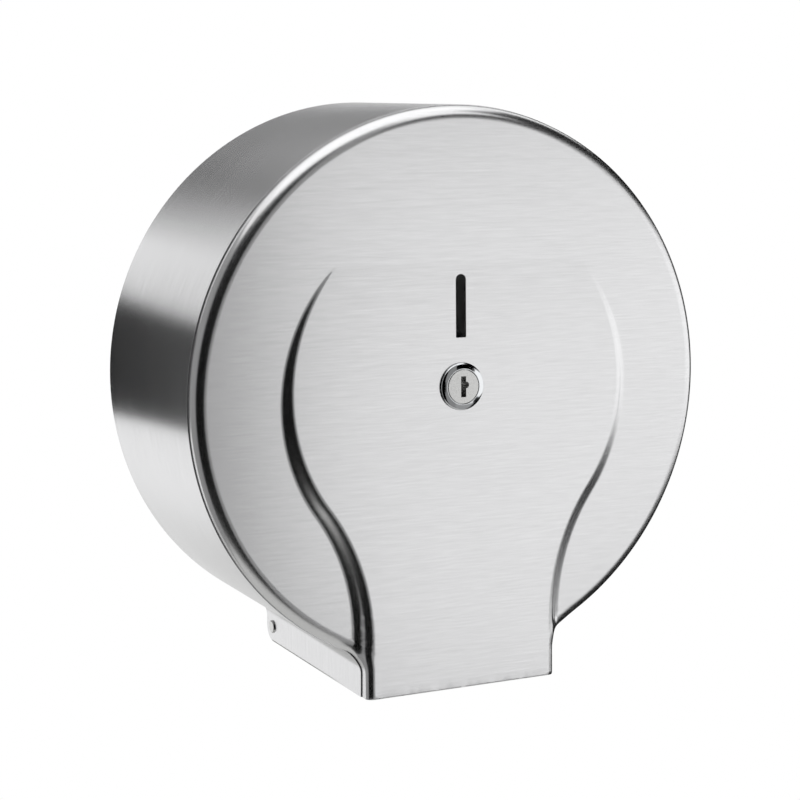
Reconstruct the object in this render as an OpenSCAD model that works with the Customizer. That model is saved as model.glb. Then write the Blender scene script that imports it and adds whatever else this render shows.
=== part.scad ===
// Jumbo toilet roll dispenser, wall mounted, all stainless sheet.
// A round cover of two pressed pieces swings forward on two hinge pins at its outlet chin.
// It closes over a back plate that carries the spindle, the turning core hub and the latch catch.
// Axes: X to the right, Y into the wall, Z up. The origin is the drum's centre on the wall plane.

/* [Sheet metal] */
// Thickness of the cover's sheet
sheet = 1; // [0.8:0.1:1.4]
// Thickness of the back plate's sheet
plate_t = 1.5; // [1:0.1:2]
// Gap between the wall and the rear edge of the cover
wall_gap = 0.5; // [0.3:0.1:0.8]

/* [Drum] */
// Outer radius of the drum
drum_r = 130; // [122:1:150]
// Distance from the wall to the seam between band and front
band_depth = 107; // [104:1:125]
// Straight part of the front's skirt that shows before its rounded rim
rim_stand = 2.2; // [1:0.1:5]
// Radius of the front's rounded rim
rim_round = 4.8; // [3:0.1:8]
// How far the front's skirt reaches back inside the band
skirt_lap = 6; // [3:0.5:10]

/* [Chin] */
// Half of the chin's width
chin_half = 49.6; // [44:0.2:56]
// How far the chin's lower edge lies below the drum
chin_below = 9; // [8:0.2:30]
// Radius of the hollow where the drum turns into the chin's side
throat_r = 11; // [6:0.5:16]
// How far the seam on the chin lies in front of the seam on the drum
chin_step = 6; // [2:0.5:9]

/* [Raised panel] */
// Radius of the raised panel's round part
panel_r = 86; // [78:1:92]
// Radius of the hollow that leads the round part into the chin
panel_blend_r = 100; // [60:1:120]
// Height of the crease where the panel starts, above the drum's axis
crease_up = 59; // [50:1:70]
// How far the panel stands in front of the face at the chin's lower edge
panel_rise = 6; // [3:0.5:9]

/* [Level slot] */
// Width of the level slot
slot_w = 5; // [4.2:0.1:7]
// Length of the level slot
slot_len = 29; // [20:0.5:32]
// Height of the slot's lower end above the drum's axis
slot_up = 24.8; // [18:0.2:27]

/* [Hinge] */
// Radius of the chin's lower rear corner, whose centre is the hinge axis
hinge_corner_r = 7.5; // [6.5:0.1:9]
// Radius of a hinge pin
pin_r = 2.5; // [1.5:0.1:3]
// Radius of a hinge pin's head
pin_head_r = 3.2; // [3.1:0.1:4]
// Thickness of a hinge pin's head
pin_head_t = 0.8; // [0.5:0.1:1.5]
// Thickness of the nylon washer beside each ear
hinge_washer_t = 0.8; // [0.5:0.1:1.2]
// Thickness of the push-on clip that holds a hinge pin
clip_t = 0.8; // [0.5:0.1:1.2]
// Outer radius of the hinge washers and clips
hinge_washer_r = 5; // [4:0.1:5.5]
// Radius of an ear's round end
ear_r = 5.5; // [4.5:0.1:6]

/* [Back plate] */
// Gap between the plate's turned-up rim and the inside of the band
plate_clear = 2.5; // [2:0.1:4]
// Height of the plate's turned-up rim, from the wall
plate_rim = 7; // [4:0.5:12]
// Distance between the fixing holes, left to right
fixing_x = 140; // [110:1:160]
// Distance between the fixing holes, up and down
fixing_z = 120; // [100:1:140]
// Radius of a fixing hole
fixing_r = 3.2; // [2:0.1:4]

/* [Spindle] */
// Outer radius of the spindle tube
tube_r = 12.5; // [11:0.1:14]
// Wall of the spindle tube
tube_wall = 1.5; // [1:0.1:2.5]
// Radius of the spindle's flange
flange_r = 25; // [24.6:0.1:25.6]
// Thickness of the spindle's flange
flange_t = 3; // [2:0.1:4]
// Radius of the circle that the flange's rivets lie on
rivet_circle_r = 21.3; // [21:0.1:21.6]
// Radius of a rivet's shank
rivet_r = 1.6; // [1.2:0.1:2]
// Radius of a rivet's head
rivet_head_r = 3; // [2.4:0.1:3.2]
// Height of a rivet's head
rivet_head_h = 1.2; // [0.8:0.1:1.6]
// Thickness of the nylon washers at the hub's ends
hub_washer_t = 1; // [0.5:0.1:1.5]
// Length of the plug pressed into the spindle tube
tube_plug_len = 20; // [14:0.5:30]

/* [Core hub] */
// Outer radius of the hub, for rolls with a 60 mm core
hub_r = 28; // [27.5:0.1:29.5]
// Radius of the hub's rear flange
hub_flange_r = 38; // [34:1:44]
// Thickness of the hub's rear flange
hub_flange_t = 2.5; // [1.5:0.1:4]
// Wall of the hub's shell and ribs
hub_wall = 2.6; // [1.5:0.1:3]
// Wall of the hub's inner tube
hub_tube_wall = 5; // [2:0.1:5.3]
// Number of ribs inside the hub
hub_ribs = 6; // [4:1:8]

/* [Latch] */
// Thickness of the catch's sheet
catch_t = 2; // [1.5:0.1:2.5]
// Half of the catch's width
catch_half = 16; // [15:0.2:17]
// Height of the catch
catch_h = 20; // [14:0.5:24]
// Width of the gap between the catch's two lips
catch_gap_w = 10; // [9.4:0.1:11]
// Outer bend radius of the catch
catch_bend_r = 3; // [2.6:0.1:4]

/* [Lock] */
// Height of the lock above the drum's axis
lock_up = 2.4; // [0:0.1:3]
// Outer radius of the lock's bezel
bezel_r = 11; // [10.4:0.1:12]
// Radius of the bezel's front edge
bezel_front_r = 9.2; // [8.9:0.1:10]
// How far the bezel stands in front of the panel
bezel_h = 3; // [2.4:0.1:4]
// Radius of the lock's threaded body
lock_r = 8; // [7.6:0.1:8.4]
// Length of the threaded body behind the panel's outer face
lock_len = 12.8; // [11:0.1:14]
// Half of the distance between the body's two flats
lock_flat = 7; // [6.8:0.1:7.4]
// Radius of the plug's face
plug_face_r = 7.9; // [7.4:0.1:8.2]
// Radius of the plug's barrel
plug_r = 5.94; // [5.6:0.02:6.1]
// Height of the keyhole
key_h = 9.6; // [7:0.1:10.4]
// Width of the keyhole
key_w = 2.6; // [1.6:0.1:3.4]
// Radius of the half-round bulge on the keyhole's right
key_bulge_r = 1.5; // [1:0.1:2]
// Depth of the keyhole
key_deep = 9; // [6:0.5:9.5]
// Inner radius of the ring groove on the plug's face
groove_r = 6.2; // [5.6:0.1:6.8]
// Width and depth of the ring groove
groove_w = 0.3; // [0.2:0.1:0.6]
// Half of the plug's tail across its flats, on which the cam sits
tail_flat = 2.5; // [2.3:0.1:2.8]
// Radius of the plug's tail
tail_r = 3.2; // [3:0.1:3.4]
// Across flats of the lock's nut
nut_af = 22; // [20:0.5:24]
// Thickness of the lock's nut
nut_t = 4; // [3:0.1:5]
// Width of the cam
cam_w = 8; // [7.4:0.1:8.4]
// Thickness of the cam
cam_t = 2; // [1.5:0.1:2.5]
// Distance from the lock's axis to the cam's tip
cam_reach = 12.5; // [10:0.1:13]

/* [Tear strip] */
// Height of the tear strip with its teeth
tear_h = 12; // [8:0.5:16]
// Height of a tooth
tooth_h = 2; // [1:0.1:3]
// Distance between two teeth
tooth_pitch = 4; // [3:0.5:6]

/* [Small fasteners] */
// Thickness of the steel washers under screw heads
washer_t = 0.8; // [0.5:0.1:1]
// Radius of the catch screw's shank
catch_screw_r = 2.5; // [2:0.1:2.6]
// Radius of the catch screw's head
catch_head_r = 4.75; // [4.2:0.1:5.5]
// Height of the catch screw's head
catch_head_h = 2.8; // [2:0.1:3.2]
// Radius of the cam screw's shank
cam_screw_r = 1.5; // [1.2:0.1:1.7]
// Radius of the cam screw's head
cam_head_r = 3; // [2.8:0.1:3.6]
// Height of the cam screw's head
cam_head_h = 2.2; // [1.6:0.1:2.6]
// Length of the cam screw's shank
cam_screw_len = 6; // [4:0.5:7]

/* [Clearances] */
// Radial gap between a shaft and the bore it turns in
run_gap = 0.06; // [0.02:0.01:0.1]
// Radial gap between a fixed pin, screw or tube and its hole
fit_gap = 0.05; // [0.02:0.01:0.1]
// Gap along an axis between parts that turn against each other
side_gap = 0.3; // [0.2:0.05:0.5]
// Gap in front of and behind the cam, to the catch's lips and to the lock's body
latch_gap = 1.4; // [1:0.1:2]

/* [Hidden] */

// Facets of a full circle
$fn = 96;
// Longer than any piece, for cuts that go right through
far = 400;
// How far a cut runs past the face it opens
past = 1;

// Distance from the drum's axis down to the chin's lower edge
chin_drop = drum_r + chin_below;

// Front of the drum and of its raised panel
front_r = drum_r - sheet;
face_depth = band_depth + rim_stand + rim_round;
slope = atan(panel_rise / (crease_up + chin_drop));
// Heights below the drum's axis where the throat leaves the drum and reaches the chin
throat_low = sqrt(pow(drum_r + throat_r, 2) - pow(chin_half + throat_r, 2));
throat_high = throat_low * drum_r / (drum_r + throat_r);

// Hinge axis, from the wall and below the drum's axis
hinge_out = wall_gap + hinge_corner_r;
hinge_down = chin_drop - hinge_corner_r;
ear_outer = chin_half - sheet - hinge_washer_t - side_gap;
ear_inner = ear_outer - plate_t;
clip_outer = ear_inner - side_gap;
// How far a pin's end stands past its clip
pin_tip = 0.5;
pin_end = clip_outer - clip_t - pin_tip;

// Back plate
plate_r = drum_r - sheet - plate_clear;
// Half width of the gap that the plate's rim leaves for the chin
rim_gap_half = chin_half + throat_r / 2;

// Lock, measured from the panel's outer face at the lock: minus is towards the wall
lock_depth = face_depth + (crease_up - lock_up) * tan(slope);
// Thickness of the bezel's floor, on which the plug's face rests
bezel_floor = 0.8;
lips_front = -lock_len - latch_gap;
cam_front = lips_front - catch_t - latch_gap;
cam_back = cam_front - cam_t;
cam_head_back = cam_back - washer_t - cam_head_h;
// How far a washer stands out around its screw's head
washer_edge = 0.5;

// Spindle, measured from the wall
flange_front = plate_t + flange_t;
thrust_front = flange_front + hub_washer_t;
catch_head_front = lock_depth + cam_head_back - latch_gap;
catch_floor = catch_head_front - catch_head_h - washer_t;
tube_end = catch_floor - catch_t;
hub_back = thrust_front + side_gap;
hub_front = tube_end - hub_washer_t - side_gap;
// The hub's ribs start in front of the rivet heads
rib_clear = 1.6;
rib_back = flange_front + rivet_head_h + rib_clear;
// Thickness of the floor under the tube plug's tapped hole, and the room past a screw's end
plug_floor = 4;
screw_room = 2;

steel = "silver";
bright = "gainsboro";
dark_steel = "darkgray";
nylon = "whitesmoke";
moulded = "dimgray";

// Turns a shape drawn as seen from the front, with its depth from the wall along +Z,
// into place: X stays, the drawing's Y becomes up, and its Z comes out of the wall.
module from_wall() {
    rotate([90, 0, 0]) children();
}

// The lock's own frame: on the panel's outer face, square to the sloping panel.
module at_lock() {
    from_wall() translate([0, lock_up, lock_depth]) rotate([-slope, 0, 0]) children();
}

// A round body joined to a straight chin below it by a hollow of radius blend on each side.
module keyhole_outline(body_r, half, blend, drop) {
    centre_x = half + blend;
    centre_y = -sqrt(pow(body_r + blend, 2) - pow(half + blend, 2));
    difference() {
        union() {
            circle(body_r);
            translate([-half, -drop]) square([2 * half, drop]);
            polygon([[0, 0], [-centre_x, centre_y], [centre_x, centre_y]]);
        }
        for (side = [-1, 1]) translate([side * centre_x, centre_y]) circle(blend);
    }
}

// Outline of the whole cover as seen from the front, inset all round.
module cover_outline(inset, drop) {
    keyhole_outline(drum_r - inset, chin_half - inset, throat_r + inset, drop);
}

// Outline of the raised panel, inset all round.
module panel_outline(inset, drop) {
    keyhole_outline(panel_r - inset, chin_half - sheet - inset, panel_blend_r + inset, drop);
}

// A disc with a rounded front edge, the shape of the drum's front.
module dish(r, depth, edge_r) {
    rotate_extrude() {
        square([r - edge_r, depth]);
        square([r, depth - edge_r]);
        translate([r - edge_r, depth - edge_r]) intersection() {
            circle(edge_r);
            square(edge_r);
        }
    }
}

// Everything behind the sloping plane of the raised panel, below the crease.
module behind_panel(inset) {
    low = chin_drop + 2 * past;
    rotate([90, 0, 90]) translate([0, 0, -far / 2]) linear_extrude(far) polygon([
        [crease_up, 0], [crease_up, face_depth - inset],
        [-low, face_depth - inset + (crease_up + low) * tan(slope)], [-low, 0]
    ]);
}

// The front's outside form, shrunk by inset, from the wall plane out.
module front_form(inset, drop) {
    dish(front_r - inset, face_depth - inset, rim_round - inset);
    linear_extrude(band_depth + rim_stand - inset) cover_outline(sheet + inset, drop);
    intersection() {
        linear_extrude(far) panel_outline(inset, drop);
        behind_panel(inset);
    }
}

// Everything nearer the wall than the seam, which steps forward at the chin.
module behind_seam(shift) {
    rotate([90, 0, 90]) translate([0, 0, -far / 2]) linear_extrude(far) polygon([
        [far, -past], [far, band_depth - shift], [-throat_high, band_depth - shift],
        [-throat_low, band_depth + chin_step - shift], [-far, band_depth + chin_step - shift],
        [-far, -past]
    ]);
}

// A ring around the drawing's Z axis.
module ring(outer_r, inner_r, height) {
    difference() {
        cylinder(r = outer_r, h = height);
        translate([0, 0, -past]) cylinder(r = inner_r, h = height + 2 * past);
    }
}

// A round bar along X at the hinge axis, from x0 to x1.
module hinge_bar(r, x0, x1) {
    translate([x0, -hinge_out, -hinge_down]) rotate([0, 90, 0]) cylinder(r = r, h = x1 - x0);
}

// A low dome on a flat foot, as on a rivet or a screw head.
module dome(r, height) {
    ball_r = (r * r + height * height) / (2 * height);
    intersection() {
        translate([0, 0, height - ball_r]) sphere(ball_r);
        cylinder(r = r, h = height);
    }
}

// A cylinder with two flats, upper and lower.
module two_flat(r, flat, height) {
    intersection() {
        cylinder(r = r, h = height);
        translate([-r, -flat, 0]) cube([2 * r, 2 * flat, height]);
    }
}

module each_rivet() {
    for (turn = [45:90:315]) rotate(turn) translate([rivet_circle_r, 0, 0]) children();
}

// --- Fixed to the wall ---

// Round plate with a turned-up rim, a tongue behind the chin and two hinge ears.
module back_plate() {
    tongue_low = hinge_down + ear_r;
    color(steel) {
        difference() {
            union() {
                from_wall() linear_extrude(plate_t) {
                    circle(plate_r);
                    translate([-ear_outer, -tongue_low]) square([2 * ear_outer, tongue_low]);
                }
                from_wall() difference() {
                    ring(plate_r, plate_r - plate_t, plate_rim);
                    translate([-rim_gap_half, -drum_r, -past])
                        cube([2 * rim_gap_half, drum_r, plate_rim + 2 * past]);
                }
                for (x0 = [-ear_outer, ear_inner]) {
                    hinge_bar(ear_r, x0, x0 + plate_t);
                    translate([x0, -hinge_out, -tongue_low]) cube([plate_t, hinge_out, 2 * ear_r]);
                }
            }
            hinge_bar(pin_r + run_gap, -ear_outer - past, ear_outer + past);
            from_wall() for (x = [-1, 1], y = [-1, 1])
                translate([x * fixing_x / 2, y * fixing_z / 2, -past])
                    cylinder(r = fixing_r, h = plate_t + 2 * past);
            from_wall() each_rivet() translate([0, 0, -past])
                cylinder(r = rivet_r + fit_gap, h = plate_t + 2 * past);
        }
    }
}

// Flange at the foot of the spindle, riveted to the plate and welded to the tube.
module spindle_flange() {
    color(dark_steel) from_wall() translate([0, 0, plate_t]) difference() {
        ring(flange_r, tube_r, flange_t);
        each_rivet() translate([0, 0, -past]) cylinder(r = rivet_r + fit_gap, h = flange_t + 2 * past);
    }
}

// Steel tube that the hub turns on.
module spindle_tube() {
    color(bright) from_wall() translate([0, 0, plate_t])
        ring(tube_r, tube_r - tube_wall, tube_end - plate_t);
}

// Four rivets through flange and plate, flush at the wall and domed in front.
module flange_rivets() {
    color(bright) from_wall() each_rivet() {
        cylinder(r = rivet_r, h = flange_front);
        translate([0, 0, flange_front]) dome(rivet_head_r, rivet_head_h);
    }
}

// Turned plug in the tube's front end, tapped for the catch screw.
module tube_plug() {
    color(dark_steel) from_wall() translate([0, 0, tube_end - tube_plug_len]) difference() {
        cylinder(r = tube_r - tube_wall - fit_gap, h = tube_plug_len);
        translate([0, 0, plug_floor]) cylinder(r = catch_screw_r + fit_gap, h = tube_plug_len);
    }
}

// Nylon washer between the flange and the hub.
module thrust_washer() {
    color(nylon) from_wall() translate([0, 0, flange_front])
        ring(tube_r + hub_tube_wall, tube_r + fit_gap, hub_washer_t);
}

// Nylon washer between the hub and the catch.
module front_washer() {
    color(nylon) from_wall() translate([0, 0, tube_end - hub_washer_t])
        ring(tube_r + hub_tube_wall, tube_r + fit_gap, hub_washer_t);
}

// Rounded rectangle of a bent channel, half wide and height tall from the drawing's X axis.
module channel_outline(half, height, r) {
    translate([-half + r, 0]) square([2 * (half - r), height]);
    translate([-half, r]) square([2 * half, height - 2 * r]);
    for (x = [-half + r, half - r], y = [r, height - r]) translate([x, y]) circle(r);
}

// Bent channel on the spindle's end; the lock's cam turns behind its two lips.
module latch_catch() {
    depth = lock_depth + lips_front - tube_end;
    color(steel) difference() {
        translate([0, -tube_end, -catch_h / 2]) linear_extrude(catch_h) mirror([0, 1]) difference() {
            channel_outline(catch_half, depth, catch_bend_r);
            translate([0, catch_t])
                channel_outline(catch_half - catch_t, depth - 2 * catch_t, catch_bend_r - catch_t);
            translate([-catch_gap_w / 2, catch_t + past]) square([catch_gap_w, depth]);
        }
        from_wall() translate([0, 0, tube_end - past])
            cylinder(r = catch_screw_r + fit_gap, h = catch_t + 2 * past);
    }
}

// Steel washer under the catch screw's head.
module catch_washer() {
    color(bright) from_wall() translate([0, 0, catch_floor])
        ring(catch_head_r + washer_edge, catch_screw_r + fit_gap, washer_t);
}

// Button-head screw with a hexagon socket that holds the catch on the spindle.
module catch_screw() {
    socket_r = 1.8;
    socket_deep = 1.6;
    shank = catch_t + washer_t + tube_plug_len - plug_floor - screw_room;
    color(dark_steel) from_wall() translate([0, 0, catch_floor + washer_t]) difference() {
        union() {
            dome(catch_head_r, catch_head_h);
            translate([0, 0, -shank]) cylinder(r = catch_screw_r, h = shank + past / 2);
        }
        translate([0, 0, catch_head_h - socket_deep]) cylinder(r = socket_r, h = far, $fn = 6);
    }
}

// --- Swinging cover ---

// Pressed front: drum face with rounded rim and skirt, and the sloping raised panel.
module cover_front() {
    color(steel) difference() {
        from_wall() difference() {
            front_form(0, chin_drop);
            front_form(sheet, chin_drop + past);
            behind_seam(skirt_lap);
        }
        at_lock() translate([0, 0, -far / 2]) two_flat(lock_r + fit_gap, lock_flat + fit_gap, far);
        from_wall() translate([0, slot_up, band_depth]) linear_extrude(far) {
            translate([-slot_w / 2, 0]) square([slot_w, slot_len - slot_w / 2]);
            translate([0, slot_len - slot_w / 2]) circle(slot_w / 2);
        }
    }
}

// Bent strip: the drum's side, its two hollow throats and the chin's sides.
module cover_band() {
    color(steel) difference() {
        from_wall() intersection() {
            translate([0, 0, wall_gap]) linear_extrude(far) cover_outline(0, chin_drop);
            behind_seam(0);
        }
        from_wall() translate([0, 0, -past]) linear_extrude(far) cover_outline(sheet, chin_drop + past);
        difference() {
            translate([-far / 2, -hinge_out, -chin_drop - past])
                cube([far, hinge_out + past, hinge_corner_r + past]);
            hinge_bar(hinge_corner_r, -far / 2, far / 2);
        }
        hinge_bar(pin_r + fit_gap, -far / 2, far / 2);
    }
}

// Toothed strip behind the chin's front lip, welded flat on the panel's inner face.
module tear_strip() {
    end_gap = 3;
    lip_gap = 0.6;
    // How far a tooth's root runs into the strip
    root = 0.1;
    half = chin_half - 2 * sheet - end_gap;
    teeth = floor(2 * half / tooth_pitch);
    color(bright) from_wall() translate([0, -chin_drop, face_depth + panel_rise]) rotate([-slope, 0, 0])
        translate([0, lip_gap, -2 * sheet]) linear_extrude(sheet) {
            translate([-half, tooth_h]) square([2 * half, tear_h - tooth_h]);
            for (i = [0:teeth - 1]) translate([(i - teeth / 2) * tooth_pitch, 0]) polygon([
                [0, tooth_h + root], [tooth_pitch / 2, 0], [tooth_pitch, tooth_h + root]
            ]);
        }
}

// Headed pin through the chin's side and the plate's ear; turn = 1 is the right side.
module hinge_pin(turn) {
    color(bright) mirror([turn > 0 ? 0 : 1, 0, 0]) {
        hinge_bar(pin_r, pin_end, chin_half);
        translate([chin_half, -hinge_out, -hinge_down]) rotate([0, 90, 0]) dome(pin_head_r, pin_head_t);
    }
}

module hinge_pin_left() {
    hinge_pin(-1);
}

module hinge_pin_right() {
    hinge_pin(1);
}

// Copies a hinge part to both sides.
module both_sides() {
    for (side = [0, 1]) mirror([side, 0, 0]) children();
}

// Nylon washers between the chin's sides and the ears.
module hinge_washers() {
    color(nylon) both_sides() difference() {
        hinge_bar(hinge_washer_r, ear_outer + side_gap, chin_half - sheet);
        hinge_bar(pin_r + fit_gap, 0, far);
    }
}

// Push-on clips on the inner ends of the hinge pins.
module hinge_clips() {
    color(dark_steel) both_sides() difference() {
        hinge_bar(hinge_washer_r, clip_outer - clip_t, clip_outer);
        hinge_bar(pin_r + fit_gap, 0, far);
    }
}

// Chromed bezel and threaded body of the cam lock.
module lock_housing() {
    // Height of the bezel's straight edge
    lip = 0.8;
    color(bright) at_lock() difference() {
        union() {
            rotate_extrude() polygon([
                [0, 0], [bezel_r, 0], [bezel_r, lip], [bezel_front_r, bezel_h], [0, bezel_h]
            ]);
            translate([0, 0, -lock_len]) two_flat(lock_r, lock_flat, lock_len + bezel_floor / 2);
        }
        translate([0, 0, bezel_floor]) cylinder(r = plug_face_r + run_gap, h = far);
        translate([0, 0, -far / 2]) cylinder(r = plug_r + run_gap, h = far);
    }
}

// Toothed washer between the nut and the front.
module lock_washer() {
    width = 4;
    color(dark_steel) at_lock() translate([0, 0, -sheet - washer_t])
        ring(lock_r + width, lock_r + fit_gap, washer_t);
}

// Thin hexagon nut that clamps the lock.
module lock_nut() {
    color(dark_steel) at_lock() translate([0, 0, -sheet - washer_t - nut_t]) difference() {
        cylinder(r = nut_af / 2 / cos(30), h = nut_t, $fn = 6);
        translate([0, 0, -past]) cylinder(r = lock_r + fit_gap, h = nut_t + 2 * past);
    }
}

// --- Turning part of the lock ---

// Keyhole outline: an upright slot with a half-round bulge on its right.
module keyhole() {
    square([key_w, key_h], center = true);
    translate([key_w / 2, key_bulge_r / 2]) circle(key_bulge_r);
}

// Plug with its keyhole, a ring groove on its face and a flatted tail for the cam.
module lock_plug() {
    hole_deep = cam_screw_len - washer_t + screw_room;
    face = bezel_h - side_gap;
    seat = bezel_floor + run_gap;
    barrel_end = -lock_len - side_gap;
    color(bright) at_lock() difference() {
        union() {
            translate([0, 0, seat]) cylinder(r = plug_face_r, h = face - seat);
            translate([0, 0, barrel_end]) cylinder(r = plug_r, h = seat - barrel_end);
            translate([0, 0, cam_back + run_gap]) two_flat(tail_r, tail_flat, barrel_end - cam_back);
        }
        translate([0, 0, face - key_deep]) linear_extrude(far) keyhole();
        translate([0, 0, face - groove_w]) ring(groove_r + groove_w, groove_r, far);
        translate([0, 0, cam_back - past]) cylinder(r = cam_screw_r + fit_gap, h = hole_deep + past);
    }
}

// Flat cam on the plug's tail; upright it slips between the lips, turned it hooks behind one.
module lock_cam() {
    // How much wider the eye around the tail is than the cam
    swell = 0.4;
    color(steel) at_lock() translate([0, 0, cam_back]) difference() {
        union() {
            cylinder(r = cam_w / 2 + swell, h = cam_t);
            translate([-cam_w / 2, 0, 0]) cube([cam_w, cam_reach - cam_w / 2, cam_t]);
            translate([0, cam_reach - cam_w / 2, 0]) cylinder(r = cam_w / 2, h = cam_t);
        }
        translate([0, 0, -past]) two_flat(tail_r + fit_gap, tail_flat + fit_gap, cam_t + 2 * past);
    }
}

// Spring washer behind the cam.
module cam_washer() {
    color(bright) at_lock() translate([0, 0, cam_back - washer_t])
        ring(cam_head_r + washer_edge, cam_screw_r + fit_gap, washer_t);
}

// Cross-head screw that holds the cam on the plug's tail.
module cam_screw() {
    cross_l = 3.6;
    cross_w = 0.8;
    cross_deep = 1.1;
    color(dark_steel) at_lock() mirror([0, 0, 1]) translate([0, 0, -cam_back + washer_t]) difference() {
        union() {
            dome(cam_head_r, cam_head_h);
            translate([0, 0, -cam_screw_len]) cylinder(r = cam_screw_r, h = cam_screw_len + past / 2);
        }
        for (turn = [0, 90]) rotate(turn)
            translate([-cross_l / 2, -cross_w / 2, cam_head_h - cross_deep]) cube([cross_l, cross_w, far]);
    }
}

// --- Turning hub ---

// Moulded hub: bearing tube, ribs, outer shell for the roll's core and a rear flange.
module core_hub() {
    bore_r = tube_r + run_gap;
    inner_r = bore_r + hub_tube_wall;
    shell_r = hub_r - hub_wall;
    lead = 1.5;
    // How far a rib runs into the walls at its two ends
    root = 0.5;
    color(moulded) from_wall() {
        rotate_extrude() polygon([
            [bore_r, hub_back], [inner_r, hub_back], [inner_r, hub_front], [bore_r, hub_front]
        ]);
        rotate_extrude() polygon([
            [shell_r, hub_back], [hub_flange_r, hub_back],
            [hub_flange_r, hub_back + hub_flange_t], [hub_r, hub_back + hub_flange_t],
            [hub_r, hub_front - lead], [hub_r - lead, hub_front], [shell_r, hub_front]
        ]);
        for (i = [0:hub_ribs - 1]) rotate(i * 360 / hub_ribs)
            translate([inner_r - root, -hub_wall / 2, rib_back])
                cube([shell_r - inner_r + 2 * root, hub_wall, hub_front - lead - rib_back]);
    }
}

back_plate();
spindle_flange();
spindle_tube();
flange_rivets();
tube_plug();
thrust_washer();
front_washer();
latch_catch();
catch_washer();
catch_screw();
cover_front();
cover_band();
tear_strip();
hinge_pin_left();
hinge_pin_right();
hinge_washers();
hinge_clips();
lock_housing();
lock_washer();
lock_nut();
lock_plug();
lock_cam();
cam_washer();
cam_screw();
core_hub();
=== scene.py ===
"""Jumbo toilet roll dispenser: detailed pieces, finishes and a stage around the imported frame.

Lengths in the functions are millimetres; properties, sockets, matrices and the stage are in
metres. The frame's axes are X to the right, Y into the wall and Z up. Drawings are seen from the
front, as (x, up), with depth from the wall towards the viewer.
"""

import math

import bmesh
import bpy
import numpy as np
from bpy.props import FloatProperty, FloatVectorProperty, IntProperty, PointerProperty
from mathutils import Matrix, Vector, geometry


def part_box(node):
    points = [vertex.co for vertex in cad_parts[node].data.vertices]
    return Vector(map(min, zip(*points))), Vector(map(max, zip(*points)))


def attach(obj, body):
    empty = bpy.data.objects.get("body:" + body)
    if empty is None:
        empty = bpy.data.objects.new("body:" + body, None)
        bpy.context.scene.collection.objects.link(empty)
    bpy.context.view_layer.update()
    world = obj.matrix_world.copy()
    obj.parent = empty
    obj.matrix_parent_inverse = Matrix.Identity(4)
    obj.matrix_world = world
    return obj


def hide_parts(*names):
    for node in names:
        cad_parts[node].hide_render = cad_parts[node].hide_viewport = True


bl_info = {
    "name": "Jumbo Roll Dispenser",
    "version": (1, 0, 0),
    "blender": (4, 5, 0),
    "location": "View3D > Sidebar > Dispenser",
    "description": "Dresses the dispenser's frame with sheet, lock and hub pieces and a stage",
    "category": "Object",
}

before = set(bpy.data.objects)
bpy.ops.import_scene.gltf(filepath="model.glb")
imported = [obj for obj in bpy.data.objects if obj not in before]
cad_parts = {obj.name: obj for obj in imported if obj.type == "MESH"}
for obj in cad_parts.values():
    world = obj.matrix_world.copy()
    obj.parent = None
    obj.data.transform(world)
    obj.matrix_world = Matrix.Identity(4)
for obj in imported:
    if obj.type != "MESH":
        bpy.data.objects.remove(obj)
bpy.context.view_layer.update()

MM = 0.001

# The cover's width and height, from the CAD model
BAND_LOW, BAND_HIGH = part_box("cover_band")
DRUM_R = round(BAND_HIGH.x / MM, 1)
CHIN_DROP = round(-BAND_LOW.z / MM, 1)
# The raised panel starts at a crease and stands in front of the face at the chin's lower edge
CREASE_UP = 59.0
PANEL_RISE = 6.0
SLOPE = math.atan(PANEL_RISE / (CREASE_UP + CHIN_DROP))
FACE_DEPTH = 114.0
# Reach of the bend at the crease, each way, and the rounding of the chin's lower lip
FOLD = 0.9
LIP = 0.35
# The middle of the panel's wall runs this far outside the chin's sides, so that it fades out there
WALL_PAST = 0.4
# Rows of points across half of the panel's wall, as shares of its width
WALL_SHARES = (0.12, 0.23, 0.33, 0.42, 0.49, 0.54, 0.64)
# The seam between band and front steps forward at the chin
SEAM_DEPTH = 107.0
SEAM_STEP = 6.0
# Where the seam steps forward, and where the drum turns into the chin: how far below the axis each
# change begins, and over what length
SEAM_CHANGE = (116.9, 10.9)
CHIN_CHANGE = (111.0, 17.0)
# The front's skirt lies inside the band. In front of the seam the rim comes out of the skirt,
# almost flush with the band, after a gap.
SKIRT_INSET = 1.0
SKIRT_LAP = 6.0
RIM_OUT = 0.5
SEAM_GAP = 0.2
SHOULDER = 0.1
# How far punched edges are drawn in by the tool
DRAWN_IN = 0.02
# Rounding of the band's rear corners at the chin, the hinge pins' holes, and the inside of the
# pins' heads, from the middle
CORNER_R = 7.5
PIN_HOLE_R = 2.55
PIN_HEAD_IN = 49.6
# The lock's hole is round with two flats. Its nut's middle is this far behind the panel's face.
LOCK_HOLE_R = 8.05
LOCK_HOLE_FLAT = 7.05
NUT_BEHIND = 3.8
# The lock's washer: its thickness, where its rear face lies behind the panel's, the gap left round
# its teeth and the depth of their roots, all in metres
WASHER_THICK = 0.0008
WASHER_REAR = 0.0018
TOOTH_GAP = 0.0001
TOOTH_ROOT = 0.0016
NUT_LOW, NUT_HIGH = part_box("lock_nut")
LOCK_UP = round((NUT_LOW.z + NUT_HIGH.z) / 2 / MM + NUT_BEHIND * math.sin(SLOPE), 1)
LOCK_DEPTH = FACE_DEPTH + (CREASE_UP - LOCK_UP) * math.tan(SLOPE)

# The camera's place, its turn to the right, its tilt down and its roll in degrees
CAMERA_PLACE = (-0.42598, -0.91860, 0.13725)
CAMERA_TURNS = (26.176, 8.839, 0.154)
# Middle of the dispenser's depth, where the screens and the lamp are aimed
AIM_Y = -0.06
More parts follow.
